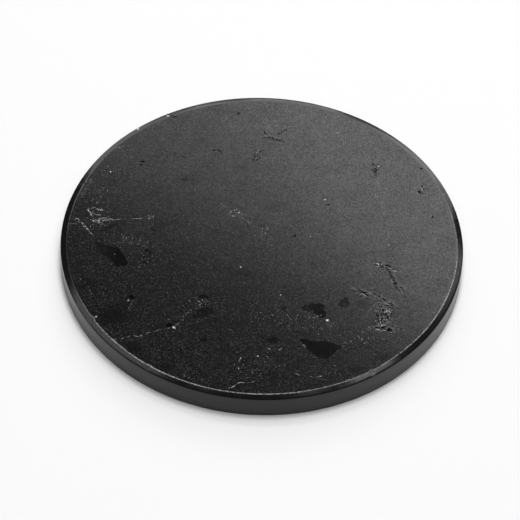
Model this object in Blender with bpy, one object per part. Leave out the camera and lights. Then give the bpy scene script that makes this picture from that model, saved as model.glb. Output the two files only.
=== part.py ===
"""Flat round massage stone: one disc of fine-grained black stone.

The disc is cut from slab, turned to a true circle, honed on both faces and eased by hand pads
at its edges. It is one solid piece. It lies on its flat underside, with the origin at the middle
of that face, +Z up and metres throughout.
"""

import math

import bmesh
import bpy

# Driving dimensions, in metres. Each one can be changed alone.
DIAMETER = 0.100
THICKNESS = 0.0065
TOP_EASE_WIDTH = 0.0015    # the shallow polished band round the top face, measured inwards
TOP_EASE_DROP = 0.0004     # how far that band falls from the face to the wall
TOP_BLEND_RADIUS = 0.0006  # softens the line where the band leaves the top face
WALL_BLEND_RADIUS = 0.0002  # softens the line where the band meets the wall
FOOT_EASE_WIDTH = 0.0003   # the small ease round the underside, measured inwards
FOOT_EASE_RISE = 0.0003    # how far that ease climbs the wall

# Fineness of the turned surface.
TURN_STEPS = 128
BLEND_STEPS = 3
SHARP_ANGLE = math.radians(28)

# The finish: black stone, honed until it has a soft sheen.
STONE_COLOUR = (0.024, 0.024, 0.025, 1.0)
STONE_ROUGHNESS = 0.38
STONE_METALLIC = 0.0


def clear_scene():
    """Remove every object that the scene starts with."""
    for thing in list(bpy.data.objects):
        bpy.data.objects.remove(thing, do_unlink=True)


def stone_material():
    """Black honed stone."""
    material = bpy.data.materials.new("honed_black_stone")
    material.use_nodes = True
    shader = material.node_tree.nodes["Principled BSDF"]
    shader.inputs["Base Color"].default_value = STONE_COLOUR
    shader.inputs["Roughness"].default_value = STONE_ROUGHNESS
    shader.inputs["Metallic"].default_value = STONE_METALLIC
    return material


def blended_corner(before, corner, after, radius):
    """Points of the arc that rounds a corner of the profile, tangent to both of its sides.

    The arc is limited to half of the shorter side, so that two blends never cross.
    """
    sides = []
    for end in (before, after):
        across = end[0] - corner[0]
        up = end[1] - corner[1]
        length = math.hypot(across, up)
        sides.append((across / length, up / length, length))
    first, second = sides
    cosine = first[0] * second[0] + first[1] * second[1]
    half_angle = math.acos(max(-1.0, min(1.0, cosine))) / 2
    reach = radius / math.tan(half_angle)
    reach = min(reach, 0.5 * first[2], 0.5 * second[2])
    fitted_radius = reach * math.tan(half_angle)

    middle = (first[0] + second[0], first[1] + second[1])
    middle_length = math.hypot(*middle)
    centre_distance = math.hypot(reach, fitted_radius)
    centre_x = corner[0] + middle[0] / middle_length * centre_distance
    centre_z = corner[1] + middle[1] / middle_length * centre_distance
    start = math.atan2(
        corner[1] + first[1] * reach - centre_z,
        corner[0] + first[0] * reach - centre_x,
    )
    finish = math.atan2(
        corner[1] + second[1] * reach - centre_z,
        corner[0] + second[0] * reach - centre_x,
    )
    sweep = (finish - start + math.pi) % (2 * math.pi) - math.pi
    angles = [start + sweep * step / BLEND_STEPS for step in range(BLEND_STEPS + 1)]
    return [
        (centre_x + fitted_radius * math.cos(angle), centre_z + fitted_radius * math.sin(angle))
        for angle in angles
    ]


def disc_profile():
    """Half outline of the disc as (radius, height), from its underside out and up to its top face."""
    radius = DIAMETER / 2
    foot_edge = (radius - FOOT_EASE_WIDTH, 0.0)
    wall_foot = (radius, FOOT_EASE_RISE)
    wall_top = (radius, THICKNESS - TOP_EASE_DROP)
    face_edge = (radius - TOP_EASE_WIDTH, THICKNESS)
    face_centre = (0.0, THICKNESS)
    outline = [foot_edge, wall_foot]
    outline += blended_corner(wall_foot, wall_top, face_edge, WALL_BLEND_RADIUS)
    outline += blended_corner(wall_top, face_edge, face_centre, TOP_BLEND_RADIUS)
    return outline


def build_stone_disc():
    """Turn the profile once round Z and close it with a flat underside and a flat top face."""
    form = bmesh.new()
    profile = [form.verts.new((across, 0.0, up)) for across, up in disc_profile()]
    edges = [form.edges.new(pair) for pair in zip(profile, profile[1:])]
    bmesh.ops.spin(
        form,
        geom=profile + edges,
        cent=(0.0, 0.0, 0.0),
        axis=(0.0, 0.0, 1.0),
        angle=2 * math.pi,
        steps=TURN_STEPS,
        use_merge=True,
    )
    open_edges = [edge for edge in form.edges if edge.is_boundary]
    bmesh.ops.holes_fill(form, edges=open_edges, sides=0)
    bmesh.ops.recalc_face_normals(form, faces=form.faces)

    mesh = bpy.data.meshes.new("stone_disc")
    form.to_mesh(mesh)
    form.free()
    mesh.shade_smooth()
    mesh.set_sharp_from_angle(angle=SHARP_ANGLE)
    mesh.materials.append(stone_material())
    disc = bpy.data.objects.new("stone_disc", mesh)
    bpy.context.scene.collection.objects.link(disc)
    return disc


clear_scene()
build_stone_disc()
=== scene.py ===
"""Looks of a flat massage stone: one turned disc of honed black stone on a white table."""

import math

import bpy
import numpy as np
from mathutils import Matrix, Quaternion, Vector


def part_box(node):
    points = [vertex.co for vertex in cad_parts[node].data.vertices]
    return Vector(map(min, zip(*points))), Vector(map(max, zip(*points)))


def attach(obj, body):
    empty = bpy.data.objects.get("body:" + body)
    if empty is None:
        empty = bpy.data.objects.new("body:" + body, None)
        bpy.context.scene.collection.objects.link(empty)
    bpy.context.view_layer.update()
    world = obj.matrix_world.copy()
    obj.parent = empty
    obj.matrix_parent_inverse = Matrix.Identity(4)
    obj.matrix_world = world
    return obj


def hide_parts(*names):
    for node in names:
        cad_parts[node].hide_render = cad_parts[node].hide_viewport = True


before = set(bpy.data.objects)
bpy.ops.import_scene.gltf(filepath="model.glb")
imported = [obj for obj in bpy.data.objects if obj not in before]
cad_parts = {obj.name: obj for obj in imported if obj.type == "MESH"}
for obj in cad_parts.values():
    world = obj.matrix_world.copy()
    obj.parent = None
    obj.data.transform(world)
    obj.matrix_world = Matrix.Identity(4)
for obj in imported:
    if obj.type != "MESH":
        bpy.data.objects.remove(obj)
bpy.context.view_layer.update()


# ---------------------------------------------------------------------------------------------
# The camera. A long lens looks down on the disc from in front, held a little out of level.
# ---------------------------------------------------------------------------------------------

disc_low, disc_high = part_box("stone_disc")
RADIUS = (disc_high.x - disc_low.x) / 2
CAMERA_ELEVATION = math.radians(48.9)
CAMERA_ROLL = math.radians(2.05)
CAMERA_DISTANCE = 13.6 * RADIUS
CAMERA_LENS = 188.1    # in mm, as is the sensor
SENSOR_WIDTH = 36.0
CAMERA_SHIFT = (-0.0028, -0.0044)

towards_camera = Vector((0.0, -math.cos(CAMERA_ELEVATION), math.sin(CAMERA_ELEVATION)))
camera = bpy.data.objects.new("camera", bpy.data.cameras.new("camera"))
camera.location = towards_camera * CAMERA_DISTANCE
aim = (-towards_camera).to_track_quat("-Z", "Y") @ Quaternion((0.0, 0.0, 1.0), CAMERA_ROLL)
camera.rotation_euler = aim.to_euler()
camera.data.lens = CAMERA_LENS
camera.data.sensor_width = SENSOR_WIDTH
camera.data.shift_x, camera.data.shift_y = CAMERA_SHIFT
camera.data.clip_start = 0.01
bpy.context.scene.collection.objects.link(camera)
bpy.context.scene.camera = camera


# ---------------------------------------------------------------------------------------------
# The disc. Sawn from slab, turned round and honed flat on both faces. Its upper edge is eased
# with a polishing pad into a narrow shallow band, and its lower edge is just broken.
# ---------------------------------------------------------------------------------------------

MM = 0.001
THICKNESS = disc_high.z - disc_low.z
GRID_CELLS = 256           # cells across the honed face, so each is 0.4 mm wide
EASE_WIDTH = 1.5 * MM      # the polished band, measured inwards from the wall
EASE_DROP = 0.4 * MM       # its fall from the face to the wall
EASE_BLEND = 0.20 * MM     # half the width over which the face rolls into the band
WALL_BLEND = 0.08 * MM     # the same where the band turns into the wall
FOOT_EASE = 0.3 * MM       # the broken edge of the underside
BLEND_STEPS = 6
FACE_EDGE = RADIUS - EASE_WIDTH
SHARP_ANGLE = math.radians(35)

WAVE_HEIGHT = 0.002 * MM   # the honed face is flat to a few thousandths of a millimetre
WAVE_WIDTH = 9.0 * MM
EASE_WAVER = 0.10 * MM     # the band is made by hand, so its inner line wanders this much
WAVER_FADE = 24            # a high power of the radius keeps that wander to the outermost cells
RAGGED = 0.45              # how uneven the outlines of the torn spots are
LATTICE = 64               # random values along each side of the square that a mottle repeats
FULLY_TORN = 0.04          # the depth in mm from which a spot is rough all over
CLOUD_RAGGED = 0.25        # how uneven the outlines of the dark clouds are

# Torn spots where grains were plucked from the face. In mm: x, y, length, width, then the turn
# of the long side in degrees and the depth.
TORN_SPOTS = (
    (30.4, -22.9, 6.4, 3.2, 100, 0.060),
    (31.6, -19.4, 3.0, 1.8, -30, 0.045),
    (27.2, -16.2, 6.5, 1.2, -22, 0.040),
    (32.9, -11.5, 6.0, 1.2, 110, 0.045),
    (30.4, -7.2, 5.5, 0.9, -18, 0.030),
    (34.9, -15.0, 4.2, 0.9, 115, 0.030),
    (40.0, 19.0, 3.2, 1.3, 55, 0.045),
    (28.3, 26.0, 3.4, 2.0, 80, 0.045),
    (-2.2, 29.0, 4.6, 1.1, 70, 0.040),
    (1.9, 35.4, 3.8, 1.0, -20, 0.035),
    (4.6, 38.4, 3.6, 0.8, 45, 0.030),
    (-45.4, 14.2, 9.0, 1.1, 66, 0.016),
    (26.0, -16.0, 2.8, 1.8, -15, 0.050),
    (29.4, -6.8, 2.4, 1.6, 30, 0.045),
    (29.8, -27.0, 4.6, 1.6, -10, 0.060),
)

# Softer, darker patches in the rock. In mm and degrees: x, y, length, width, turn, then how
# much darker.
DARK_CLOUDS = (
    (3.0, 11.5, 8.0, 4.2, 5, 0.35),
    (-20.3, 19.5, 7.0, 4.0, 20, 0.30),
    (-35.0, -26.0, 8.5, 7.5, 40, 0.75),
    (-30.0, -36.0, 6.5, 4.5, 0, 0.60),
    (-21.8, -41.5, 5.0, 3.2, 0, 0.55),
    (23.5, -40.0, 5.5, 2.4, 0, 0.55),
    (29.8, -36.0, 4.0, 2.4, 20, 0.60),
    (25.0, -19.5, 4.5, 3.0, 0, 0.55),
    (31.0, -24.0, 8.0, 6.0, 90, 0.45),
    (-38.0, 2.6, 4.8, 1.3, 38, 0.9),
    (-42.6, -16.2, 6.5, 3.6, -40, 0.55),
    (3.5, -31.8, 4.0, 2.6, 0, 0.55),
    (12.0, -20.8, 3.0, 2.0, 0, 0.60),
    (-21.5, -28.3, 2.4, 1.6, 30, 0.80),
    (-6.0, -10.5, 11.0, 4.0, -20, 0.30),
    (-29.0, -6.8, 4.2, 3.4, 20, 0.35),
    (-25.0, 4.5, 7.0, 2.2, 15, 0.35),
    (-8.0, -27.0, 9.0, 4.0, -10, 0.30),
    (3.0, -42.5, 8.0, 3.0, 0, 0.35),
    (22.0, 16.0, 8.0, 5.0, 30, 0.22),
    (-4.0, 24.0, 9.0, 4.0, 10, 0.20),
)

# How pale the band's inner line is painted, as degrees round the disc and a share from 0 to 1:
# partly real wear and partly a painted highlight. It is palest along its front.
LINE_WEAR_AND_HIGHLIGHT = (
    (0, 0.35), (12, 0.45), (30, 0.05), (60, 0.0), (130, 0.0), (140, 0.1), (160, 0.4), (172, 0.3),
    (184, 0.1), (202, 0.1), (212, 0.5), (222, 0.75), (232, 1.0), (244, 0.9), (254, 0.6),
    (264, 0.6), (271, 0.9), (280, 0.5), (292, 0.4), (304, 0.35), (316, 0.75), (330, 0.8),
    (343, 0.85), (353, 0.6),
)

# Nicks in the band's inner line, as degrees round the disc, then width and depth in mm.
NICKS = (
    (213.7, 1.2, 0.45), (238.0, 0.8, 0.2), (304.0, 0.9, 0.22), (131.0, 0.7, 0.2), (22.0, 0.8, 0.18),
)


def linear(colour):
    """An sRGB hex colour, such as "#1b1b1c", as linear red, green, blue and alpha."""
    parts = np.array([int(colour[i:i + 2], 16) for i in (1, 3, 5)]) / 255
    curve = np.where(parts <= 0.04045, parts / 12.92, ((parts + 0.055) / 1.055) ** 2.4)
    return (*curve.tolist(), 1.0)


def mottle(x, y, size, seed):
    """A smooth random value from -1 to 1 at each point, with lumps about `size` apart.

    Seeded random values stand on a square lattice. In between, the value is the mean of the
    four round it, each weighted by 3t^2 - 2t^3 of the distance along either side.
    """
    lattice = np.random.default_rng(seed).uniform(-1.0, 1.0, (LATTICE, LATTICE))
    column, row = np.floor(x / size).astype(int), np.floor(y / size).astype(int)
    s, t = x / size - column, y / size - row
    s, t = s * s * (3 - 2 * s), t * t * (3 - 2 * t)
    left, right = column % LATTICE, (column + 1) % LATTICE
    low, high = row % LATTICE, (row + 1) % LATTICE
    below = lattice[left, low] * (1 - s) + lattice[right, low] * s
    above = lattice[left, high] * (1 - s) + lattice[right, high] * s
    return below * (1 - t) + above * t


def cover(spots, x, y, ragged):
    """How deep each point lies in a set of oval spots, times the spots' last value.

    In each spot the depth is 1.25 less the point's distance from the middle, counted in half
    lengths and half widths and made uneven by `ragged` times a mottle, held from 0 to 1.
    """
    total = np.zeros_like(x)
    uneven = 1 + ragged * (mottle(x, y, 1.1 * MM, 11) + 0.6 * mottle(x, y, 0.5 * MM, 12))
    for middle_x, middle_y, length, width, turn, value in spots:
        along, across = math.cos(math.radians(turn)), math.sin(math.radians(turn))
        dx, dy = x - middle_x * MM, y - middle_y * MM
        lengthwise = (dx * along + dy * across) / (length / 2 * MM)
        widthwise = (dy * along - dx * across) / (width / 2 * MM)
        distance = np.hypot(lengthwise, widthwise)
        total = np.maximum(total, value * np.clip(1.25 - distance * uneven, 0.0, 1.0))
    return total


def face_height(x, y):
    """Height of the finished top at each point.

    It is the honed level plus two mottles of slow waves, the second finer and half as high. In
    the torn spots two mottles of about 1 and 0.6 mm are added, times the depth and mostly below
    the face. Outside the face edge the straight slope of the eased band comes off.
    """
    waves = mottle(x, y, WAVE_WIDTH, 1) + 0.5 * mottle(x, y, WAVE_WIDTH / 2.3, 2)
    torn = cover(TORN_SPOTS, x, y, RAGGED) * MM
    rough = 0.75 * mottle(x, y, 0.95 * MM, 3) + 0.55 * mottle(x, y, 0.6 * MM, 4) - 0.45
    slope = np.clip(np.hypot(x, y) - FACE_EDGE, 0.0, None) * (EASE_DROP / EASE_WIDTH)
    return THICKNESS + WAVE_HEIGHT * waves + torn * rough - slope


def edge_waver(angle):
    """How far the band's inner line strays outwards at each angle: three slow sines round the
    disc, less the nicks, each a bell curve as wide and deep as given.
    """
    stray = EASE_WAVER * (
        0.45 * np.sin(3 * angle + 0.7)
        + 0.35 * np.sin(7 * angle + 2.1)
        + 0.2 * np.sin(16 * angle + 4.4)
    )
    for place_round, width, depth in NICKS:
        apart = (angle - math.radians(place_round) + np.pi) % (2 * np.pi) - np.pi
        stray = stray - depth * MM * np.exp(-((apart * FACE_EDGE / (width / 2 * MM)) ** 2))
    return stray


def pressed_disc(cells):
    """Points of a square grid pressed into a disc of radius 1, as two (cells + 1)^2 arrays.

    A grid point (a, b) keeps its larger coordinate as its radius. Its angle is an eighth of a
    turn times the smaller coordinate over the larger, counted from the axis of the larger one.
    The cells stay nearly equal in size and the middle has no pole.
    """
    line = np.linspace(-1.0, 1.0, cells + 1)
    across, up = np.meshgrid(line, line)
    wide = np.abs(across) > np.abs(up)
    reach = np.where(wide, across, up)
    other = np.where(wide, up, across)
    part = np.divide(other, reach, out=np.zeros_like(reach), where=reach != 0)
    angle = np.where(wide, np.pi / 4 * part, np.pi / 2 - np.pi / 4 * part)
    return reach * np.cos(angle), reach * np.sin(angle)


def rounded_corner(before, corner, after, reach, steps):
    """Points of a quadratic arc that leaves one side `reach` before the corner and joins the
    other side as far after it: (1 - t)^2 start + 2t(1 - t) corner + t^2 end, t from 0 to 1.
    """
    before, corner, after = (np.array(point) for point in (before, corner, after))
    start = corner + (before - corner) / np.linalg.norm(before - corner) * reach
    end = corner + (after - corner) / np.linalg.norm(after - corner) * reach
    t = np.linspace(0.0, 1.0, steps + 1)[:, None]
    return (1 - t) ** 2 * start + 2 * t * (1 - t) * corner + t ** 2 * end


def rim_profile():
    """(radius, height) down the rim and under it, from where the flat face ends to the middle
    of the underside, and how many of its steps belong to the band and to the wall.
    """
    face_edge = (FACE_EDGE, THICKNESS)
    wall_top = (RADIUS, THICKNESS - EASE_DROP)
    wall_foot = (RADIUS, FOOT_EASE)
    foot_edge = (RADIUS - FOOT_EASE, 0.0)
    band = rounded_corner((0.0, THICKNESS), face_edge, wall_top, EASE_BLEND, BLEND_STEPS)
    turn = rounded_corner(face_edge, wall_top, wall_foot, WALL_BLEND, BLEND_STEPS)
    across_band = np.linspace(band[-1], turn[0], 4)[1:-1]
    foot = rounded_corner(wall_top, wall_foot, foot_edge, FOOT_EASE / 3, 2)
    wall = np.linspace(turn[-1], foot[0], 5)[1:-1]
    # Two more rings keep the faces of the underside short.
    under = [foot_edge, (0.8 * RADIUS, 0.0), (0.4 * RADIUS, 0.0)]
    band_steps = len(band) + len(across_band) + BLEND_STEPS // 2
    wall_steps = len(turn) - BLEND_STEPS // 2 + len(wall) + len(foot)
    return np.concatenate([band, across_band, turn, wall, foot, under]), band_steps - 1, wall_steps


def ring_of(cells):
    """Indices of the grid's border points, once round, anticlockwise from above."""
    index = np.arange((cells + 1) ** 2).reshape(cells + 1, cells + 1)
    return np.concatenate(
        [index[0, :-1], index[:-1, -1], index[-1, :0:-1], index[:0:-1, 0]]
    )


def make_mesh(name, points, faces, materials, smooth=True):
    """A mesh object named `name` at the origin, with its materials."""
    mesh = bpy.data.meshes.new(name)
    mesh.from_pydata(points, [], faces)
    for material in materials:
        mesh.materials.append(material)
    if smooth:
        mesh.shade_smooth()
    piece = bpy.data.objects.new(name, mesh)
    bpy.context.scene.collection.objects.link(piece)
    return piece


def store(piece, name, values):
    """Keeps one number for each point of the piece, for its material to read."""
    layer = piece.data.attributes.new(name, "FLOAT", "POINT")
    layer.data.foreach_set("value", values.astype(np.float32))


def build_disc(materials):
    """The whole stone as one closed mesh: a pressed grid on top, and rings that carry the rim
    profile round and under it to the middle of the underside.

    Across the band, each ring follows the height of the grid's edge and the waver of the inner
    line by its share of the way in from the wall. The pale line of wear and painted highlight is a
    half sine across the inner line times the share given for that direction.
    """
    profile, band_steps, wall_steps = rim_profile()
    x, y = pressed_disc(GRID_CELLS)
    reach, angle = np.hypot(x, y), np.arctan2(y, x)
    radius = reach * profile[0, 0] + edge_waver(angle) * reach ** WAVER_FADE
    x, y = radius * np.cos(angle), radius * np.sin(angle)
    top = np.stack([x, y, face_height(x, y)], -1)

    ring = ring_of(GRID_CELLS)
    angle = angle.ravel()[ring]
    follows = np.clip((RADIUS - profile[1:, 0, None]) / (RADIUS - profile[0, 0]), 0.0, 1.0)
    follows = np.where(np.arange(len(profile) - 1)[:, None] < band_steps, follows, 0.0)
    radius = profile[1:, 0, None] + edge_waver(angle) * follows
    height = profile[1:, 1, None] + (top[..., 2].ravel()[ring] - THICKNESS) * follows
    rings = np.stack([radius * np.cos(angle), radius * np.sin(angle), height], -1)
    points = np.concatenate([top.reshape(-1, 3), rings.reshape(-1, 3), [(0.0, 0.0, 0.0)]])

    index = np.arange((GRID_CELLS + 1) ** 2).reshape(GRID_CELLS + 1, -1)
    face = np.stack(
        [index[:-1, :-1], index[:-1, 1:], index[1:, 1:], index[1:, :-1]], -1
    ).reshape(-1, 4)
    level = np.concatenate(
        [[ring], index.size + np.arange(rings.shape[0] * len(ring)).reshape(-1, len(ring))]
    )
    after = np.roll(level, -1, axis=1)
    rim = np.stack([level[:-1], level[1:], after[1:], after[:-1]], -1).reshape(-1, 4)
    middle = np.full(len(ring), len(points) - 1)
    cap = np.stack([level[-1], middle, after[-1]], -1)
    piece = make_mesh(
        "stone_disc_surface", points, [*face.tolist(), *rim.tolist(), *cap.tolist()], materials
    )

    # The materials in order: honed face, band, wall and underside.
    slots = np.full(len(face) + len(rim) + len(cap), 3, np.int32)
    slots[:len(face)] = 0
    slots[len(face):len(face) + band_steps * len(ring)] = 1
    slots[len(face) + band_steps * len(ring):][:wall_steps * len(ring)] = 2
    piece.data.polygons.foreach_set("material_index", slots)
    piece.data.set_sharp_from_angle(angle=SHARP_ANGLE)
    torn = cover(TORN_SPOTS, points[:, 0], points[:, 1], RAGGED)
    store(piece, "torn", np.clip(torn / FULLY_TORN, 0, 1))
    store(piece, "clouded", cover(DARK_CLOUDS, points[:, 0], points[:, 1], CLOUD_RAGGED))
    # The pale inner line of the band, one number for each point: partly wear, partly painted highlight.
    across_line = np.sin(np.pi * np.clip(np.arange(1, len(rings) + 1) / BLEND_STEPS, 0.0, 1.0))
    degrees, wear_and_highlight_share = np.array(LINE_WEAR_AND_HIGHLIGHT).T
    round_line = np.interp(np.degrees(angle), degrees, wear_and_highlight_share, period=360)
    wear_and_highlight = np.zeros(len(points))
    wear_and_highlight[index.size:-1] = np.outer(across_line, round_line).ravel()
    store(piece, "wear_and_highlight", wear_and_highlight)
    return piece


def add_node(tree, kind, inputs, **settings):
    """Adds one shader node: inputs are sockets to link or values to set, settings its options."""
    made = tree.nodes.new(kind)
    for name, value in settings.items():
        setattr(made, name, value)
    for name, value in inputs.items():
        socket = made.inputs[name]
        if isinstance(value, bpy.types.NodeSocket):
            tree.links.new(value, socket)
        else:
            socket.default_value = value
    return made


def plain_finish(name, ior, colour, roughness):
    """A plain finish to build on: its material, node tree, shader and Object coordinates."""
    material = bpy.data.materials.new(name)
    material.use_nodes = True
    tree = material.node_tree
    shader = tree.nodes["Principled BSDF"]
    shader.inputs["Base Color"].default_value = linear(colour)
    shader.inputs["Roughness"].default_value = roughness
    shader.inputs["IOR"].default_value = ior
    place = add_node(tree, "ShaderNodeTexCoord", {}).outputs["Object"]
    return material, tree, shader, place


# Black marble-like stone, honed with fine pads: a very dark body under an even, soft shine. Its
# specks are a quarter to half a millimetre across, groups of smaller grains. Each grain has its
# own grey and takes the hone a little better or worse, so the face is speckled all over and its
# shine is never smooth. Veils of finer grain lie 6 mm apart, and the torn spots are rough at
# half a millimetre.
GRAIN = 0.20 * MM
HONED_ROUGHNESS = 0.14
honed, tree, shader, place = plain_finish("honed_black_stone", 1.66, "#1b1b1b", HONED_ROUGHNESS)
torn = add_node(tree, "ShaderNodeAttribute", {}, attribute_name="torn").outputs["Fac"]
clouded = add_node(tree, "ShaderNodeAttribute", {}, attribute_name="clouded").outputs["Fac"]
grains = add_node(tree, "ShaderNodeTexVoronoi", {"Vector": place, "Scale": 1 / GRAIN})
grain = add_node(tree, "ShaderNodeSeparateColor", {"Color": grains.outputs["Color"]}).outputs
veil = add_node(
    tree, "ShaderNodeTexNoise",
    {"Vector": place, "Scale": 1 / (6 * MM), "Detail": 5.0, "Roughness": 0.6},
).outputs["Fac"]
tears = add_node(
    tree, "ShaderNodeTexNoise",
    {"Vector": place, "Scale": 1 / (0.5 * MM), "Detail": 2.0, "Roughness": 0.6},
).outputs["Fac"]

# The greys: most grains are nearly black and a few are much lighter. In a colour Mix node,
# sockets 6 and 7 are the two colours and output 2 is the result, and with numbers they are
# sockets 2 and 3 and output 0.
pale_grain = add_node(tree, "ShaderNodeMath", {0: grain["Red"], 1: 7.0}, operation="POWER").outputs[0]
body = add_node(
    tree, "ShaderNodeMix",
    {"Factor": pale_grain, 6: linear("#0b0b0b"), 7: linear("#424141")}, data_type="RGBA",
).outputs[2]
body = add_node(
    tree, "ShaderNodeMix", {"Factor": clouded, 6: body, 7: linear("#090909")}, data_type="RGBA"
).outputs[2]
# In a torn spot the broken stone is greyer, but its low bits, which the same noise sinks in the bump,
# are painted near black: painted shade in the hollows of the tear.
torn_grey_and_hollow_shade = add_node(
    tree, "ShaderNodeMapRange", {"Value": tears, "From Min": 0.44, "From Max": 0.64}
).outputs["Result"]
torn_body_and_hollow_shade = add_node(
    tree, "ShaderNodeMix",
    {"Factor": torn_grey_and_hollow_shade, 6: linear("#050505"), 7: linear("#4e4d4b")}, data_type="RGBA",
).outputs[2]
body = add_node(
    tree, "ShaderNodeMix", {"Factor": torn, 6: body, 7: torn_body_and_hollow_shade}, data_type="RGBA"
).outputs[2]
tree.links.new(body, shader.inputs["Base Color"])

# The shine of each grain, dulled a little by the veils, more in the dark clouds, and lost in the
# darkest bits of a torn spot, which are painted shade in the hollows of the tear.
shine = add_node(
    tree, "ShaderNodeMapRange", {"Value": grain["Green"], "To Min": 0.34, "To Max": 1.26}
).outputs["Result"]
veiled = add_node(
    tree, "ShaderNodeMapRange",
    {"Value": veil, "From Min": 0.3, "From Max": 0.7, "To Min": 0.86, "To Max": 1.14},
).outputs["Result"]
dulled = add_node(
    tree, "ShaderNodeMath", {0: clouded, 1: -0.5, 2: 1.0}, operation="MULTIPLY_ADD"
).outputs[0]
torn_shine_and_hollow_shade = add_node(
    tree, "ShaderNodeMix", {"Factor": torn, 2: 1.0, 3: torn_grey_and_hollow_shade}, data_type="FLOAT"
).outputs[0]
for share in (veiled, dulled, torn_shine_and_hollow_shade):
    shine = add_node(tree, "ShaderNodeMath", {0: shine, 1: share}, operation="MULTIPLY").outputs[0]
tree.links.new(shine, shader.inputs["Specular Tint"])
gloss = add_node(
    tree, "ShaderNodeMath", {0: torn, 1: 0.05, 2: HONED_ROUGHNESS}, operation="MULTIPLY_ADD"
).outputs[0]
tree.links.new(gloss, shader.inputs["Roughness"])
torn_height = add_node(tree, "ShaderNodeMath", {0: tears, 1: torn}, operation="MULTIPLY").outputs[0]
torn_bump = add_node(
    tree, "ShaderNodeBump", {"Strength": 1.0, "Distance": 0.15 * MM, "Height": torn_height}
).outputs["Normal"]
tree.links.new(torn_bump, shader.inputs["Normal"])

# The same stone on the eased band, taken further with a polishing pad: darker and glossier, so
# that it mirrors the room sharply. Its inner line is painted as a fine row of pale bruises, partly
# real wear and partly a painted highlight, strongest along the front.
eased, tree, shader, place = plain_finish("polished_ease", 1.55, "#111111", 0.10)
smear = add_node(
    tree, "ShaderNodeTexNoise", {"Vector": place, "Scale": 1 / (1.6 * MM), "Detail": 3.0}
).outputs["Fac"]
smear = add_node(
    tree, "ShaderNodeMapRange",
    {"Value": smear, "From Min": 0.3, "From Max": 0.7, "To Min": 0.08, "To Max": 0.16},
).outputs["Result"]
tree.links.new(smear, shader.inputs["Roughness"])
bruises = add_node(
    tree, "ShaderNodeTexNoise", {"Vector": place, "Scale": 1 / (0.4 * MM), "Detail": 2.0}
).outputs["Fac"]
wear_and_highlight = add_node(tree, "ShaderNodeAttribute", {}, attribute_name="wear_and_highlight").outputs["Fac"]
bruise = add_node(
    tree, "ShaderNodeMapRange",
    {"Value": bruises, "From Min": 0.40, "From Max": 0.66, "To Min": 0.15, "To Max": 1.0},
).outputs["Result"]
wear_and_highlight = add_node(tree, "ShaderNodeMath", {0: wear_and_highlight, 1: bruise}, operation="MULTIPLY").outputs[0]
# Paints the inner line pale: in part real wear, in part a painted highlight along the front.
body = add_node(
    tree, "ShaderNodeMix", {"Factor": wear_and_highlight, 6: linear("#111111"), 7: linear("#bcbbb8")},
    data_type="RGBA",
).outputs[2]
tree.links.new(body, shader.inputs["Base Color"])
bruised = add_node(
    tree, "ShaderNodeBump", {"Strength": 1.0, "Distance": 0.003 * MM, "Height": bruises}
).outputs["Normal"]
tree.links.new(bruised, shader.inputs["Normal"])

# The wall keeps the satin of the grinding wheel. The wheel's lines run round it, 0.3 mm apart
# on average, and are drawn 0.45 mm apart, so that they show.
wall, tree, shader, place = plain_finish("satin_wall", 1.5, "#161616", 0.28)
shader.inputs["Specular IOR Level"].default_value = 0.30
stretched = add_node(
    tree, "ShaderNodeMapping", {"Vector": place, "Scale": (0.06, 0.06, 1.0)}
).outputs["Vector"]
turning = add_node(
    tree, "ShaderNodeTexNoise",
    {"Vector": stretched, "Scale": 1 / (0.45 * MM), "Detail": 3.0, "Roughness": 0.6},
).outputs["Fac"]
dusk = add_node(
    tree, "ShaderNodeMix", {"Factor": turning, 6: linear("#101010"), 7: linear("#1e1e1e")},
    data_type="RGBA",
).outputs[2]
tree.links.new(dusk, shader.inputs["Base Color"])
ridges = add_node(
    tree, "ShaderNodeBump", {"Strength": 1.0, "Distance": 0.010 * MM, "Height": turning}
).outputs["Normal"]
tree.links.new(ridges, shader.inputs["Normal"])

# The underside is honed one grit coarser than the top, so it is greyer and duller. Its grain
# shows as a soft mottle.
under, tree, shader, place = plain_finish("honed_underside", 1.55, "#242424", 0.38)
coarse = add_node(
    tree, "ShaderNodeTexNoise", {"Vector": place, "Scale": 1 / (0.5 * MM), "Detail": 3.0}
).outputs["Fac"]
body = add_node(
    tree, "ShaderNodeMix", {"Factor": coarse, 6: linear("#161616"), 7: linear("#353534")},
    data_type="RGBA",
).outputs[2]
tree.links.new(body, shader.inputs["Base Color"])
scratched = add_node(
    tree, "ShaderNodeBump", {"Strength": 1.0, "Distance": 0.012 * MM, "Height": coarse}
).outputs["Normal"]
tree.links.new(scratched, shader.inputs["Normal"])

disc = build_disc([honed, eased, wall, under])
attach(disc, "root")
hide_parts("stone_disc")


# ---------------------------------------------------------------------------------------------
# Glassy inclusions. Lumps of harder black glass-like mineral grew in the rock. The honing cut
# through them and left them flush, smoother and blacker than the stone round them.
# ---------------------------------------------------------------------------------------------

INCLUSION_DEPTH = 0.15 * MM
INCLUSION_PROUD = 0.005 * MM   # drawn just proud of the face, so that they cover its grain
TORN_RAISE = 0.5               # and by this share of the depth more where the face is torn
FACETS = ((0.004, 1.7), (0.0015, 0.7))   # their shallow facets, as height and width in mm
RING_SHARES = (1.0, 0.985, 0.97, 0.75, 0.6, 0.45, 0.3, 0.15)   # close at the edge: it is crisp
SPOKES = 72
OUTLINE_STEP = 0.35            # in mm, along the outlines of the large ones
SPAN_STEPS = 24                # points of a curve between two of its given points
LUMP_SEED = 40

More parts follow.
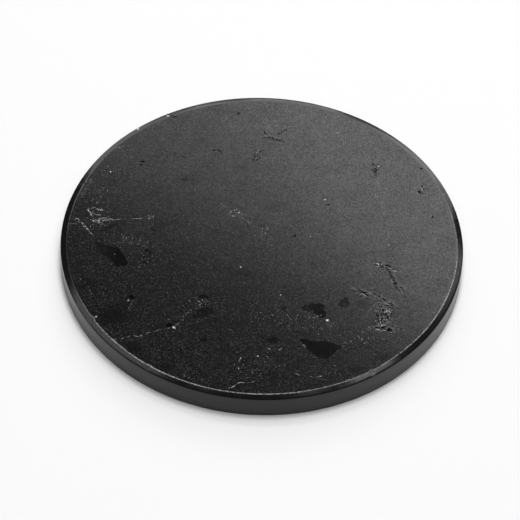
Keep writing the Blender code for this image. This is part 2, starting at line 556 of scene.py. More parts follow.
# The outlines of the three large ones, in mm.
LEFT_LUMP = (
    (-41.2, -2.5), (-40.4, -2.1), (-39.2, -2.8), (-38.2, -3.2), (-36.9, -3.6), (-35.5, -3.9),
    (-34.9, -4.6), (-34.1, -6.2), (-33.0, -8.1), (-32.7, -8.9), (-33.2, -9.7), (-34.9, -10.1),
    (-35.3, -10.4), (-36.0, -9.8), (-36.8, -8.8), (-38.0, -7.4), (-39.2, -6.7), (-40.3, -5.2),
    (-41.0, -3.7),
)
RIGHT_LUMP = (
    (9.8, -31.0), (9.9, -32.0), (11.0, -33.3), (12.5, -35.0), (14.3, -36.5), (15.5, -37.1),
    (16.8, -36.9), (17.8, -35.8), (18.8, -34.5), (20.2, -33.0), (18.5, -32.3), (17.5, -31.8),
    (16.0, -31.4), (13.0, -31.6), (11.0, -30.9),
)
MIDDLE_LUMP = (
    (12.7, -19.6), (13.6, -20.0), (14.6, -19.5), (15.9, -20.5), (15.7, -21.6), (16.3, -22.6),
    (15.8, -24.2), (14.7, -24.2), (14.1, -23.4), (13.3, -23.4), (13.0, -22.2), (12.3, -21.6),
)

LEFT_LUMP_THINS = -35.0 * MM   # its x from which it thins out
THINNING_LENGTH = 4.0 * MM

# How smoky the three are, from 0 to 1: where a lump is thin it lets some grey through.
LARGE_SMOKE = (0.0, 0.4, 0.15)

# The small ones are rough ovals, as x, y, length, width, turn in degrees and how smoky each is.
SMALL_LUMPS = (
    (20.6, -19.1, 3.9, 2.2, 78, 0.9), (11.6, -21.4, 2.6, 2.2, 20, 0.8),
    (-28.1, -5.0, 2.0, 1.5, -40, 0.6), (-28.4, -8.1, 1.9, 1.1, 10, 0.8),
    (-13.5, -23.9, 5.6, 2.8, 22, 0.9), (3.5, -31.8, 2.6, 1.6, 10, 0.5),
    (-13.6, -18.9, 3.0, 1.2, 10, 0.4), (-13.1, -32.5, 1.8, 1.2, 40, 0.4),
    (-24.0, 41.7, 1.8, 0.9, -10, 0.3), (5.9, -21.9, 1.6, 1.0, 60, 0.5),
    (-3.2, -38.6, 1.5, 0.9, 0, 0.5), (24.7, -17.0, 0.7, 0.4, 0, 0.3),
    (-20.1, 19.7, 1.6, 1.2, 0, 0.9), (29.3, -6.5, 0.9, 0.4, 50, 0.4),
    (27.2, -17.0, 0.7, 0.3, 60, 0.3),
)


def smooth_path(points, step, closed=False):
    """A Catmull-Rom curve through the points, read at equal steps along its length: its points,
    and how far along it each of them is.

    Between two points it is the cubic whose slope at each of them is half the line between
    that point's neighbours.
    """
    points = np.array(points, float)
    if closed:
        ends = np.vstack([points[-1], points, points[0], points[1]])
    else:
        ends = np.vstack([2 * points[0] - points[1], points, 2 * points[-1] - points[-2]])
    before, start = ends[:-3, None], ends[1:-2, None]
    end, after = ends[2:-1, None], ends[3:, None]
    t = np.linspace(0.0, 1.0, SPAN_STEPS, endpoint=False)[None, :, None]
    curve = 0.5 * (
        2 * start
        + (end - before) * t
        + (2 * before - 5 * start + 4 * end - after) * t ** 2
        + (3 * start - 3 * end + after - before) * t ** 3
    ).reshape(-1, 2)
    curve = np.vstack([curve, ends[-2]])
    length = np.concatenate([[0.0], np.cumsum(np.hypot(*np.diff(curve, axis=0).T))])
    even = np.linspace(0.0, length[-1], max(8, int(length[-1] / step) + 1))
    return np.stack([np.interp(even, length, curve[:, axis]) for axis in (0, 1)], -1), even


def rough_oval(x, y, length, width, turn, seed):
    """Outline of a small lump in mm: an ellipse whose size wavers by three sines round it."""
    phase = np.random.default_rng(seed).uniform(0.0, 2 * np.pi, 3)
    angle = np.linspace(0.0, 2 * np.pi, SPOKES, endpoint=False)
    size = (
        1 + 0.14 * np.sin(2 * angle + phase[0]) + 0.12 * np.sin(3 * angle + phase[1])
        + 0.07 * np.sin(7 * angle + phase[2])
    )
    along, across = length / 2 * size * np.cos(angle), width / 2 * size * np.sin(angle)
    turn = math.radians(turn)
    return np.stack(
        [x + along * math.cos(turn) - across * math.sin(turn),
         y + along * math.sin(turn) + across * math.cos(turn)], -1
    )


def build_lump(outline, seed):
    """One inclusion as a closed flat lens.

    A point lies at middle + s * (outline - middle), with s from 0 to 1. Its top follows the
    face, raised by `INCLUSION_PROUD`, by more where the face is torn, and by two mottles of
    shallow facets that fade at the outline. The outline itself is just below the face, so that
    no gap shows. The bottom is a cone down to `INCLUSION_DEPTH`.
    """
    outline = outline * MM
    middle = outline.mean(axis=0)
    share = np.array(RING_SHARES)[:, None, None]
    spread = middle + share * (outline - middle)
    x, y = spread[..., 0], spread[..., 1]
    facets = sum(
        height * MM * mottle(x, y, width * MM, seed + order)
        for order, (height, width) in enumerate(FACETS)
    )
    proud = INCLUSION_PROUD + TORN_RAISE * cover(TORN_SPOTS, x, y, RAGGED) * MM
    raised = np.where(share[..., 0] == 1.0, -0.5, 1.0) * proud
    height = face_height(x, y) + raised + facets * (1 - share[..., 0] ** 8)
    top = np.stack([x, y, height], -1).reshape(-1, 3)
    level = face_height(middle[:1], middle[1:])[0]
    points = np.vstack(
        [top, [*middle, level + proud[-1].mean()], [*middle, level - INCLUSION_DEPTH]]
    )

    index = np.arange(len(top)).reshape(len(share), -1)
    after = np.roll(index, -1, axis=1)
    rings = np.stack([index[:-1], after[:-1], after[1:], index[1:]], -1).reshape(-1, 4)
    cap = np.stack([index[-1], after[-1], np.full(len(outline), len(top))], -1)
    cone = np.stack([after[0], index[0], np.full(len(outline), len(top) + 1)], -1)
    return points, [rings, cap, cone]


def join_shells(shells):
    """Several closed shells as the points and faces of one mesh. A shell is its points and some
    arrays of faces, whose numbers are counted on from the points of the shells before it.
    """
    faces = []
    start = 0
    for points, groups in shells:
        for group in groups:
            faces.extend((group + start).tolist())
        start += len(points)
    return np.vstack([points for points, groups in shells]), faces


# Black glassy mineral, cut flush by the honing: nearly no colour of its own, a clean gloss that
# varies a little from grain to grain, and shallow shell-like facets. Where a lump is thin it is
# smoky, and its grain shows more.
glassy, tree, shader, place = plain_finish("glassy_black_mineral", 1.5, "#080808", 0.10)
shader.inputs["Specular IOR Level"].default_value = 0.35
clouds = add_node(
    tree, "ShaderNodeTexNoise", {"Vector": place, "Scale": 1 / (1.5 * MM), "Detail": 3.0}
).outputs["Fac"]
smoky = add_node(tree, "ShaderNodeAttribute", {}, attribute_name="smoky").outputs["Fac"]
cells = add_node(tree, "ShaderNodeTexVoronoi", {"Vector": place, "Scale": 1 / GRAIN})
specks = add_node(
    tree, "ShaderNodeSeparateColor", {"Color": cells.outputs["Color"]}
).outputs["Red"]
tint = add_node(
    tree, "ShaderNodeMath", {0: smoky, 1: 0.4, 2: 0.2}, operation="MULTIPLY_ADD"
).outputs[0]
tint = add_node(tree, "ShaderNodeMath", {0: tint, 1: specks}, operation="MULTIPLY").outputs[0]
tint = add_node(
    tree, "ShaderNodeMix", {"Factor": tint, 6: linear("#040404"), 7: linear("#2c2c2c")},
    data_type="RGBA",
).outputs[2]
tree.links.new(tint, shader.inputs["Base Color"])
glint = add_node(
    tree, "ShaderNodeMapRange", {"Value": specks, "To Min": 0.45, "To Max": 1.35}
).outputs["Result"]
tree.links.new(glint, shader.inputs["Specular Tint"])
ripples = add_node(
    tree, "ShaderNodeBump", {"Strength": 1.0, "Distance": 0.008 * MM, "Height": clouds}
).outputs["Normal"]
tree.links.new(ripples, shader.inputs["Normal"])

large = (LEFT_LUMP, RIGHT_LUMP, MIDDLE_LUMP)
outlines = [smooth_path(lump, OUTLINE_STEP, closed=True)[0][:-1] for lump in large]
outlines += [rough_oval(*lump[:5], seed) for seed, lump in enumerate(SMALL_LUMPS)]
shells = [build_lump(outline, LUMP_SEED + 2 * order) for order, outline in enumerate(outlines)]
smoke = [*LARGE_SMOKE, *(lump[5] for lump in SMALL_LUMPS)]
smoke = np.repeat(smoke, [len(shell[0]) for shell in shells])
points, faces = join_shells(shells)
lumps = make_mesh("glassy_inclusions", points, faces, [glassy])
# The left lump thins out to the left, and so grows smoky.
thin = np.clip((LEFT_LUMP_THINS - points[:, 0]) / THINNING_LENGTH, 0.0, 1.0)
of_left_lump = np.arange(len(points)) < len(shells[0][0])
store(lumps, "smoky", np.maximum(smoke, thin * of_left_lump))
lumps.data.set_sharp_from_angle(angle=SHARP_ANGLE)
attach(lumps, "root")


# ---------------------------------------------------------------------------------------------
# White threads. Hair-thin cracks in the rock healed with pale calcite. The honing cut them
# across, so they show as broken, wandering lines 0.1 to 0.3 mm wide.
# ---------------------------------------------------------------------------------------------

THREAD_STEP = 0.16             # in mm, along the route
THREAD_PROUD = 0.015 * MM      # drawn just proud of the face, so that they cover its grain
THREAD_DEPTH = 0.05 * MM
THREAD_STRAY = 0.14 * MM       # how far they wander to either side of the route
END_TAPER = 0.6 * MM
THREAD_SHARP_ANGLE = math.radians(50)
THREAD_SEED = 600

# Each is its width, how pale it is and how broken into beads, from 0 to 1, and its route in mm.
THREADS = (
    (0.28, 0.75, 0.0, ((-43.8, 8.6), (-43.7, 7.8), (-43.1, 7.0), (-42.8, 6.2))),
    (0.18, 0.34, 0.7, ((-43.8, 8.4), (-42.9, 8.9), (-41.6, 8.9), (-40.7, 8.3), (-40.1, 7.7))),
    (0.16, 0.30, 0.7, ((-39.9, 7.4), (-40.4, 6.9), (-41.3, 6.6), (-42.2, 6.9), (-42.8, 7.4))),
    (0.16, 0.42, 0.7, ((-42.7, 4.0), (-41.9, 4.8), (-41.0, 5.4), (-39.6, 5.6), (-38.6, 5.7),
                       (-37.4, 5.1))),
    (0.16, 0.48, 0.7, ((-41.8, 3.9), (-40.9, 4.3), (-39.9, 4.6), (-39.2, 4.9), (-37.6, 5.2))),
    (0.15, 0.40, 0.7, ((-41.9, 5.1), (-40.8, 4.1), (-40.1, 4.2), (-39.4, 5.6))),
    (0.16, 0.40, 0.4, ((-40.0, 5.5), (-39.2, 5.2), (-38.9, 6.0), (-38.3, 5.6))),
    (0.15, 0.35, 0.4, ((-42.3, 4.3), (-41.4, 4.6), (-40.4, 5.2), (-39.8, 4.4))),
    (0.13, 0.30, 0.5, ((-37.8, 5.1), (-34.2, 5.5), (-31.0, 5.8), (-28.1, 6.1))),
    (0.16, 0.45, 0.4, ((-28.9, 7.3), (-28.1, 6.5), (-27.5, 6.6), (-27.2, 7.2))),
    (0.14, 0.45, 0.4, ((-47.0, 5.5), (-46.1, 4.9), (-45.3, 3.8))),
    (0.15, 0.55, 0.4, ((-45.5, 4.1), (-44.5, 3.1), (-43.8, 2.0))),
    (0.14, 0.50, 0.4, ((-43.9, 2.2), (-42.7, 0.6), (-41.6, -0.6))),
    (0.13, 0.22, 0.4, ((-48.3, 3.3), (-47.4, 3.3), (-46.2, 3.4))),
    (0.14, 0.32, 0.9, ((-29.5, -30.8), (-30.0, -31.8), (-28.8, -32.2), (-27.7, -31.4), (-25.4, -30.5))),
    (0.13, 0.32, 1.0, ((-25.6, -30.6), (-24.0, -29.9), (-22.3, -29.4), (-20.8, -29.0))),
    (0.14, 0.35, 1.0, ((-35.0, -33.5), (-32.7, -33.0), (-30.3, -31.8))),
    (0.16, 0.34, 0.8, ((-15.3, -20.3), (-14.3, -21.0), (-15.0, -21.8), (-14.3, -22.5))),
    (0.15, 0.50, 1.0, ((-6.3, -47.2), (-4.0, -45.3), (-2.1, -45.2), (0.0, -44.5), (0.5, -42.7))),
    (0.15, 0.45, 1.0, ((-4.5, -41.2), (-4.6, -39.6), (-4.4, -38.4), (-3.7, -37.3))),
    (0.18, 0.45, 0.9, ((2.3, -34.5), (3.2, -34.9), (4.0, -34.3), (4.8, -34.9), (5.8, -34.3))),
    (0.18, 0.40, 0.8, ((28.2, -6.2), (29.6, -6.5), (31.0, -7.3), (32.1, -8.0), (33.6, -8.6))),
    (0.18, 0.55, 0.4, ((28.2, -7.3), (29.0, -7.0), (29.7, -6.3), (30.1, -5.9))),
    (0.15, 0.28, 0.8, ((31.1, -8.8), (31.6, -9.8), (32.2, -11.8), (33.2, -13.3), (34.3, -14.3),
                       (35.1, -16.3))),
    (0.16, 0.40, 0.4, ((24.1, -16.6), (25.0, -16.2), (26.0, -16.9), (26.9, -16.0), (27.4, -16.5))),
    (0.15, 0.30, 0.8, ((27.2, -16.5), (28.9, -17.6), (30.5, -18.8), (32.0, -20.0))),
    (0.17, 0.42, 0.6, ((28.8, -21.0), (29.2, -23.0), (29.4, -24.5), (29.8, -25.7), (31.0, -26.0))),
    (0.15, 0.40, 0.8, ((30.6, -20.4), (31.0, -21.8), (30.4, -23.2), (31.4, -24.6))),
    (0.15, 0.40, 0.8, ((29.3, -21.8), (30.3, -22.0), (31.2, -21.4), (32.2, -22.4))),
    (0.18, 0.45, 0.8, ((28.0, -27.2), (29.2, -27.4), (30.4, -27.5), (31.0, -28.1))),
    (0.16, 0.30, 0.8, ((9.9, -32.6), (10.6, -33.0), (11.4, -33.9))),
    (0.16, 0.40, 0.4, ((-38.8, 29.6), (-37.3, 30.3), (-35.8, 30.8))),
    (0.16, 0.45, 0.4, ((-39.2, -26.0), (-39.5, -26.5), (-39.8, -26.9))),
    (0.14, 0.22, 1.0, ((8.0, -41.5), (11.5, -42.6), (15.2, -42.5), (17.5, -41.0))),
    (0.14, 0.20, 0.8, ((-44.8, -14.0), (-42.0, -17.0), (-40.8, -20.5))),
)


def build_thread(route, width, broken, seed):
    """One strand as a closed lens carried along a route that strays by two mottles.

    Across the strand, u from -1 to 1, its top is proud by THREAD_PROUD * (1 - u^2). Its width
    comes from a mottle along its length, so it thins and swells, the more so the more it is
    `broken`, and goes to nothing at both ends as the square root of the distance from them.
    Below, its two sides meet at a keel.
    """
    path, length = smooth_path(route, THREAD_STEP)
    path, length = path * MM, length * MM
    stray = THREAD_STRAY * np.stack(
        [mottle(*path.T, 0.9 * MM, seed), mottle(*path.T, 0.8 * MM, seed + 1)], -1
    )
    path = path + stray
    side = np.gradient(path, axis=0)[:, ::-1] * (-1, 1)
    side /= np.linalg.norm(side, axis=1, keepdims=True)
    swell = mottle(length, np.full_like(length, seed * MM), 0.5 * MM, seed + 2)
    swell = np.clip(0.75 - 0.35 * broken + (0.4 + 1.2 * broken) * swell, 0.05, 1.5)
    ends = np.clip(np.minimum(length, length[-1] - length) / END_TAPER, 0.02, 1.0)
    half = width / 2 * MM * swell * np.sqrt(ends)
    u = np.array([-1.0, -0.5, 0.0, 0.5, 1.0])
    flat = path[:, None] + (half[:, None] * u)[..., None] * side[:, None]
    level = face_height(flat[..., 0], flat[..., 1])
    top = np.concatenate([flat, (level + THREAD_PROUD * (1 - u ** 2))[..., None]], -1)
    keel = np.concatenate([path, (level[:, 2] - THREAD_DEPTH)[:, None]], -1)[:, None]
    ring = np.concatenate([top, keel], 1)

    index = np.arange(ring[..., 0].size).reshape(len(ring), -1)
    after = np.roll(index, -1, axis=1)
    sides = np.stack([index[:-1], index[1:], after[1:], after[:-1]], -1).reshape(-1, 4)
    return ring.reshape(-1, 3), [sides, np.stack([index[0], index[-1, ::-1]])]


# Calcite, cut flush: chalky white where it is thick, and grey where the black stone shows
# through it. A number kept for each point says how pale it is.
calcite, tree, shader, place = plain_finish("pale_calcite", 1.55, "#c9c8c5", 0.40)
paleness = add_node(tree, "ShaderNodeAttribute", {}, attribute_name="paleness").outputs["Fac"]
patchy = add_node(
    tree, "ShaderNodeTexNoise", {"Vector": place, "Scale": 1 / (0.45 * MM), "Detail": 2.0}
).outputs["Fac"]
patchy = add_node(
    tree, "ShaderNodeMapRange",
    {"Value": patchy, "From Min": 0.3, "From Max": 0.7, "To Min": 0.35, "To Max": 1.15},
).outputs["Result"]
whiter = add_node(tree, "ShaderNodeMath", {0: paleness, 1: patchy}, operation="MULTIPLY").outputs[0]
chalk = add_node(
    tree, "ShaderNodeMix", {"Factor": whiter, 6: linear("#0c0c0c"), 7: linear("#e2e1de")},
    data_type="RGBA",
).outputs[2]
tree.links.new(chalk, shader.inputs["Base Color"])

strands = [
    build_thread(route, width, broken, THREAD_SEED + 10 * order)
    for order, (width, pale, broken, route) in enumerate(THREADS)
]
thread_paleness = np.repeat([row[1] for row in THREADS], [len(strand[0]) for strand in strands])
threads = make_mesh("calcite_threads", *join_shells(strands), [calcite])
threads.data.set_sharp_from_angle(angle=THREAD_SHARP_ANGLE)
store(threads, "paleness", thread_paleness)
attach(threads, "root")


# ---------------------------------------------------------------------------------------------
# Pits and open cracks. Where a grain was plucked out, or a crack never healed, the face is open.
# The hole is too narrow for light to come back out of it, so it is drawn as a flush black patch.
# ---------------------------------------------------------------------------------------------

# Pits, as x, y, length and width in mm, and turn in degrees.
PITS = (
    (-31.3, -19.9, 1.6, 1.1, 0), (-21.7, -28.3, 1.6, 1.2, 20), (30.1, -26.6, 1.3, 0.7, 30),
    (31.6, -27.4, 1.5, 0.9, -30), (28.5, -26.8, 1.0, 0.5, 20), (30.0, -21.2, 1.0, 0.5, 60),
    (31.2, -23.5, 0.9, 0.5, 100), (29.6, -24.4, 0.9, 0.4, 80), (30.7, -22.6, 0.8, 0.4, 20),
    (31.9, -21.2, 0.9, 0.4, 60), (25.4, -15.8, 1.0, 0.5, -20), (26.3, -16.5, 0.9, 0.4, 30),
    (-31.1, 25.4, 1.0, 0.6, 20), (-31.5, 24.3, 0.8, 0.5, -20), (28.4, 25.1, 0.9, 0.5, 60),
    (39.2, 18.3, 1.1, 0.5, 20), (40.1, 20.2, 0.7, 0.4, 60), (8.1, 1.9, 1.0, 0.5, 0),
    (16.3, 12.8, 1.2, 0.4, -10), (-19.3, -23.8, 0.6, 0.4, 0), (-13.0, 30.2, 0.9, 0.4, 0),
    (42.5, 9.9, 0.8, 0.4, 70), (-7.2, 43.6, 1.0, 0.5, 60), (39.9, 26.4, 0.9, 0.4, 0),
    (29.0, -22.9, 0.7, 0.4, 130),
)

CRACK_BROKEN = 0.8   # they open and close along their length
PIT_SEEDS = (200, 300)
CRACK_SEED = 590

# Cracks, as width and route in mm.
CRACKS = (
    (0.26, ((-10.5, 16.3), (-8.5, 16.5), (-6.5, 16.4), (-3.5, 16.8), (-0.5, 17.5))),
    (0.32, ((29.0, -5.8), (30.2, -6.1), (31.3, -6.8), (32.5, -7.5), (34.0, -8.2))),
    (0.30, ((31.4, -8.4), (32.1, -9.6), (32.7, -11.5), (33.7, -13.0), (34.7, -14.0), (35.6, -16.2))),
    (0.34, ((26.9, -15.6), (28.9, -16.7), (30.8, -18.0), (32.6, -19.4))),
    (0.30, ((28.4, -22.0), (28.9, -23.6), (29.0, -25.2), (29.4, -26.4))),
    (0.26, ((31.9, -21.0), (32.1, -22.6), (31.8, -24.2), (32.2, -25.6))),
    (0.24, ((24.3, -15.7), (25.2, -15.3), (26.4, -15.5))),
    (0.22, ((-29.3, -7.4), (-28.3, -8.9), (-27.3, -9.5))),
    (0.24, ((-28.0, 2.9), (-27.2, 2.3), (-26.3, 2.1))),
    (0.26, ((-10.0, 45.7), (-8.6, 44.6), (-7.0, 43.5))),
    (0.21, ((-1.0, 38.2), (0.7, 35.8), (3.6, 34.4))),
    (0.23, ((-3.0, 27.3), (-1.6, 29.9), (-0.4, 30.9))),
    (0.19, ((-2.5, 26.6), (-0.4, 29.3), (1.5, 30.0))),
    (0.22, ((-13.9, 30.0), (-12.4, 30.4), (-11.2, 29.6))),
    (0.18, ((-26.1, 29.4), (-24.1, 28.9), (-22.0, 28.4), (-20.0, 27.0))),
    (0.14, ((-11.4, 29.7), (-8.0, 28.9), (-3.7, 27.5))),
    (0.18, ((2.9, 36.4), (4.0, 37.4), (5.2, 38.6))),
)

# Raw stone in the depth of a hole: broken and never honed, so it has no shine, and it is as good
# as black.
pore, tree, shader, place = plain_finish("raw_stone_in_shadow", 1.5, "#060606", 0.85)
shader.inputs["Specular IOR Level"].default_value = 0.08

holes = [
    build_lump(rough_oval(*pit, PIT_SEEDS[0] + order), PIT_SEEDS[1] + 2 * order)
    for order, pit in enumerate(PITS)
]
holes += [
    build_thread(route, width, CRACK_BROKEN, CRACK_SEED + 3 * order)
    for order, (width, route) in enumerate(CRACKS)
]
holes = make_mesh("pits_and_cracks", *join_shells(holes), [pore])
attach(holes, "root")


# ---------------------------------------------------------------------------------------------
# Bright flecks. Single grains of pale mineral, 0.1 to 0.9 mm across. They grew in the rock, and
# the honing cut through them.
# ---------------------------------------------------------------------------------------------

# The ones that stand out, as x, y and size in mm and how pale they are, the boldest first.
FLECKS = (
    (-20.5, -29.0, 0.85, 1.0), (-25.5, 42.0, 0.80, 1.0), (16.5, -25.0, 0.75, 1.0),
    (-33.0, 37.0, 0.75, 1.0), (29.0, 26.5, 0.50, 0.9), (15.5, 14.5, 0.55, 0.7),
    (-5.0, -9.0, 0.42, 0.9), (29.0, -6.5, 0.45, 0.8), (-28.5, 6.0, 0.40, 0.9),
    (-39.5, -26.5, 0.60, 0.6), (-39.0, 21.5, 0.36, 1.0), (-6.0, 9.0, 0.50, 0.7),
    (-4.5, -41.0, 0.50, 0.7), (15.0, -42.5, 0.42, 0.8), (-32.0, -21.0, 0.42, 0.8),
    (5.0, -17.5, 0.36, 0.9), (18.5, 38.0, 0.36, 0.9), (31.5, 0.0, 0.36, 0.9),
    (0.0, -37.0, 0.45, 0.7), (12.0, 2.0, 0.34, 0.9),
)

# Rows of small grains along healed cracks: x and y of both ends, how many, size, how pale.
TRAILS = (
    (-20.4, -28.4, -18.3, -26.0, 9, 0.20, 0.55), (-18.3, -26.0, -16.5, -22.8, 11, 0.20, 0.5),
    (-5.3, -46.3, -6.8, -47.3, 5, 0.20, 0.6), (-4.8, 6.9, -2.0, 4.8, 11, 0.20, 0.5),
    (-11.2, 12.4, -8.7, 10.4, 8, 0.18, 0.4), (-31.5, -22.0, -31.4, -24.2, 7, 0.18, 0.5),
    (-7.9, 9.6, -8.4, 8.3, 5, 0.22, 0.5), (-8.2, 8.0, -6.4, 7.8, 6, 0.22, 0.5),
    (-7.6, 10.0, -6.4, 9.8, 4, 0.22, 0.45), (-0.9, 3.6, 1.2, 4.2, 5, 0.22, 0.5),
    (-0.8, 3.0, 1.2, 2.2, 6, 0.20, 0.45), (-16.3, 5.6, -12.0, 4.2, 8, 0.16, 0.3),
    (2.0, 9.2, 5.0, 8.8, 6, 0.18, 0.4), (24.0, -29.8, 26.4, -32.4, 14, 0.18, 0.45),
    (28.4, -20.5, 32.4, -21.2, 12, 0.26, 0.5), (28.6, -25.6, 32.6, -27.6, 14, 0.26, 0.5),
    (9.8, -31.2, 11.2, -33.6, 10, 0.20, 0.5), (-17.7, -43.6, -15.0, -44.4, 6, 0.20, 0.4),
    (-36.0, -31.0, -33.6, -31.6, 7, 0.20, 0.35), (-33.0, -2.0, -28.0, -3.6, 10, 0.18, 0.35),
    (26.2, 25.8, 29.2, 26.9, 9, 0.24, 0.5), (-0.2, 36.3, 3.6, 34.9, 10, 0.22, 0.5),
    (3.4, 37.2, 6.4, 40.0, 9, 0.20, 0.5), (-2.9, 27.6, -1.6, 31.0, 8, 0.22, 0.5),
    (-43.2, 8.9, -39.8, 8.2, 14, 0.22, 0.6), (-43.0, 4.4, -37.4, 5.2, 26, 0.22, 0.55),
    (-46.8, 5.4, -42.4, 0.2, 20, 0.20, 0.5), (-28.4, 5.9, -27.4, 6.8, 4, 0.22, 0.6),
    (38.4, 17.2, 40.6, 20.2, 9, 0.24, 0.5), (11.6, -25.2, 15.0, -23.4, 9, 0.22, 0.45),
)

# Loose swarms of them: x and y of the middle, half width each way, how many, size, how pale.
SWARMS = (
    (5.0, -25.2, 8.0, 2.8, 70, 0.19, 0.34), (-15.5, -20.8, 3.6, 2.2, 28, 0.19, 0.38),
    (15.0, -26.4, 4.2, 2.2, 30, 0.20, 0.40), (-33.5, -1.5, 4.5, 2.6, 60, 0.18, 0.34),
    (-41.0, 4.5, 3.0, 3.4, 50, 0.18, 0.42), (-42.5, 14.5, 2.6, 4.5, 44, 0.18, 0.42),
    (-6.5, 9.0, 2.4, 1.8, 26, 0.18, 0.34), (0.5, 3.2, 2.2, 1.6, 22, 0.18, 0.34),
    (-28.5, -7.5, 2.0, 2.4, 24, 0.18, 0.36), (0.0, -41.0, 5.5, 3.0, 44, 0.18, 0.36),
    (30.5, -23.6, 1.9, 3.0, 40, 0.22, 0.45), (-36.0, 22.0, 4.5, 3.0, 34, 0.18, 0.34),
    (22.0, -31.0, 4.0, 2.4, 34, 0.18, 0.36), (2.0, 40.0, 3.5, 3.5, 24, 0.20, 0.36),
)
TRAIL_SPREAD = 0.16       # in mm, to either side of a row
SWARM_SPREAD = 0.6        # of the half width given

FINE_FLECKS = 200         # the rest, spread evenly over the face
FINE_EDGE = 0.5           # in mm, the bare margin inside the band
FLECK_SEEDS = (77, 78)    # for their places and their shapes
FLECK_CORNERS = 6
FLECK_PROUD = 0.003 * MM  # for their corners
WALL_MARGIN = 0.3         # in mm, so that no fleck reaches the wall


def build_flecks(x, y, size, seed):
    """All flecks as one mesh of six-sided double cones, with one row of each array for a fleck.

    The corners lie round the middle at 0.7 to 1.25 of half the size, in an oval that is turned
    at random. They are level with the face, the upper tip is proud of it by a twelfth of the
    size, and the lower tip is half the size below it.
    """
    draw = np.random.default_rng(seed)
    angle = np.arange(FLECK_CORNERS) * (2 * np.pi / FLECK_CORNERS)
    reach = size[:, None] / 2 * draw.uniform(0.7, 1.25, (len(x), FLECK_CORNERS))
    slim = draw.uniform(0.55, 1.0, (len(x), 1))
    turn = draw.uniform(0.0, np.pi, (len(x), 1))
    along, across = reach * np.cos(angle), reach * slim * np.sin(angle)
    corner_x = x[:, None] + along * np.cos(turn) - across * np.sin(turn)
    corner_y = y[:, None] + along * np.sin(turn) + across * np.cos(turn)
    corners = np.stack([corner_x, corner_y, face_height(corner_x, corner_y) + FLECK_PROUD], -1)
    level = face_height(x, y)
    lean = size * draw.uniform(-0.15, 0.15, len(x))
    upper = np.stack([x + lean, y, level + size / 12], -1)[:, None]
    lower = np.stack([x, y, level - size / 2], -1)[:, None]
    points = np.concatenate([corners, upper, lower], 1)

    first = np.arange(FLECK_CORNERS)
    second = (first + 1) % FLECK_CORNERS
    upper_tip = np.full_like(first, FLECK_CORNERS)
    lower_tip = upper_tip + 1
    shape = np.concatenate(
        [np.stack([first, second, upper_tip], -1), np.stack([second, first, lower_tip], -1)]
    )
    faces = shape[None] + (np.arange(len(x)) * (FLECK_CORNERS + 2))[:, None, None]
    return points.reshape(-1, 3), faces.reshape(-1, 3).tolist()


draw = np.random.default_rng(FLECK_SEEDS[0])
named = np.array(FLECKS)

# The fine ones: the square root of an even draw spreads them evenly over the face. The powers
# leave most of them small and faint.
distance = (FACE_EDGE / MM - FINE_EDGE) * np.sqrt(draw.uniform(0.0, 1.0, FINE_FLECKS))
bearing = draw.uniform(0.0, 2 * np.pi, FINE_FLECKS)
fine_size = 0.10 + 0.20 * draw.uniform(0.0, 1.0, FINE_FLECKS) ** 2
fine_pale = 0.12 + 0.50 * draw.uniform(0.0, 1.0, FINE_FLECKS) ** 1.5
fine = np.stack([distance * np.cos(bearing), distance * np.sin(bearing), fine_size, fine_pale], -1)

# Each row and swarm, repeated once for each of its grains.
trail = np.repeat(np.array(TRAILS), [row[4] for row in TRAILS], axis=0)
share = draw.uniform(0.0, 1.0, (len(trail), 1))
middle = trail[:, :2] * (1 - share) + trail[:, 2:4] * share
middle = middle + draw.normal(0.0, TRAIL_SPREAD, (len(trail), 2))
trail = np.hstack([middle, trail[:, 5:] * draw.uniform(0.55, 1.3, (len(trail), 2))])
swarm = np.repeat(np.array(SWARMS), [row[4] for row in SWARMS], axis=0)
around = swarm[:, :2] + swarm[:, 2:4] * draw.normal(0.0, SWARM_SPREAD, (len(swarm), 2))
swarm = np.hstack([around, swarm[:, 5:] * draw.uniform(0.5, 1.4, (len(swarm), 2))])

flecks = np.vstack([named, fine, trail, swarm])
flecks = flecks[np.hypot(flecks[:, 0], flecks[:, 1]) < RADIUS / MM - WALL_MARGIN]
fleck_x, fleck_y, fleck_size, fleck_pale = flecks.T
points, faces = build_flecks(fleck_x * MM, fleck_y * MM, fleck_size * MM, FLECK_SEEDS[1])
flecks = make_mesh("bright_flecks", points, faces, [calcite], smooth=False)
store(flecks, "paleness", np.repeat(fleck_pale, FLECK_CORNERS + 2))
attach(flecks, "root")


# ---------------------------------------------------------------------------------------------
# Floor and light. A white table, and soft boxes low behind the disc, at its sides and overhead.
# ---------------------------------------------------------------------------------------------

TABLE_SIZE = 4.0
TABLE_GAP = 0.02 * MM      # it lies this far below the disc, so that the two never flicker

# A matt painted board: white, with next to no shine.
painted, tree, shader, place = plain_finish("white_table", 1.45, "#f2f2f2", 0.9)
shader.inputs["Specular IOR Level"].default_value = 0.1
corners = np.array([(-1, -1, 0), (1, -1, 0), (1, 1, 0), (-1, 1, 0)]) * (TABLE_SIZE / 2)
floor = make_mesh("table", corners - (0, 0, TABLE_GAP), [(0, 1, 2, 3)], [painted], smooth=False)

bpy.context.scene.view_settings.view_transform = "Standard"
world = bpy.data.worlds.new("studio")
world.use_nodes = True
background = world.node_tree.nodes["Background"]
background.inputs["Color"].default_value = (1, 1, 1, 1)
background.inputs["Strength"].default_value = 0.03
bpy.context.scene.world = world


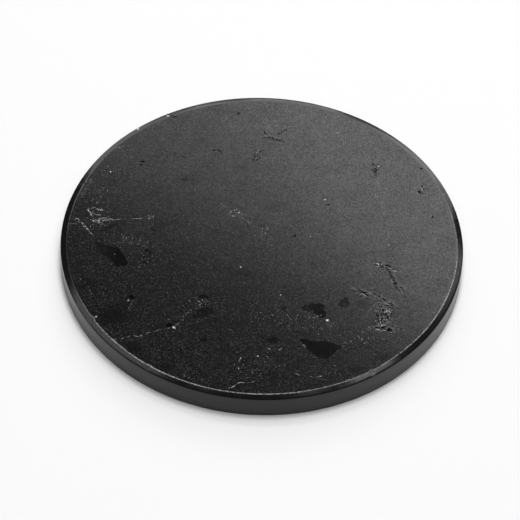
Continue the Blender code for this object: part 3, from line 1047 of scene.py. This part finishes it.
def soft_box(name, azimuth, elevation, distance, size, brightness, spin=0.0, mirrored=True):
    """A rectangular light that faces the disc. Azimuth 0 is +X and 90 is +Y, behind the disc.

    Angles are in degrees, distance and size in metres. A brightness of 1 is that of fully lit
    white paper. A box that isn't mirrored only fills in.
    """
    lamp = bpy.data.lights.new(name, "AREA")
    lamp.shape = "RECTANGLE"
    lamp.size, lamp.size_y = size
    lamp.energy = math.pi * size[0] * size[1] * brightness
    box = bpy.data.objects.new(name, lamp)
    a, e = math.radians(azimuth), math.radians(elevation)
    away = Vector((math.cos(a) * math.cos(e), math.sin(a) * math.cos(e), math.sin(e)))
    box.location = away * distance
    turn = (-away).to_track_quat("-Z", "Y") @ Quaternion((0, 0, 1), math.radians(spin))
    box.rotation_euler = turn.to_euler()
    box.visible_glossy = mirrored
    bpy.context.scene.collection.objects.link(box)


# The ones that the honed face and the eased band mirror.
soft_box("back_slanted", 77.1, 43.1, 1.21, (0.774, 0.34), 1.034, -38.2)
soft_box("back_upright", 83.8, 33.7, 1.09, (0.536, 0.621), 0.972, -20.2)
soft_box("low_back_right", 70, 27.5, 1.2, (0.36, 0.34), 1.5)
soft_box("low_back", 90, 19, 1.2, (0.34, 0.16), 1.2)
soft_box("low_back_left", 104.5, 25.5, 1.2, (0.42, 0.34), 1.4)
soft_box("right", 54, 46, 1.2, (0.22, 0.38), 1.2)
soft_box("high_right", 43.5, 67.5, 1.2, (0.17, 0.17), 3.0)
soft_box("top_right", 54, 77, 1.2, (0.14, 0.12), 0.9)
soft_box("high_left", 134, 60, 1.2, (0.26, 0.50), 1.15)
soft_box("top_left", 126, 77, 1.2, (0.14, 0.12), 0.9)
soft_box("high_strip", 90, 65, 1.2, (0.42, 0.10), 5.0)
# The ones that only light the table.
soft_box("overhead", 72, 84, 1.4, (0.3, 0.3), 30.0, mirrored=False)
soft_box("high_back", 80, 68, 1.4, (0.5, 0.4), 4.0, mirrored=False)
soft_box("front_fill", 275, 60, 1.5, (0.8, 0.8), 4.2, mirrored=False)
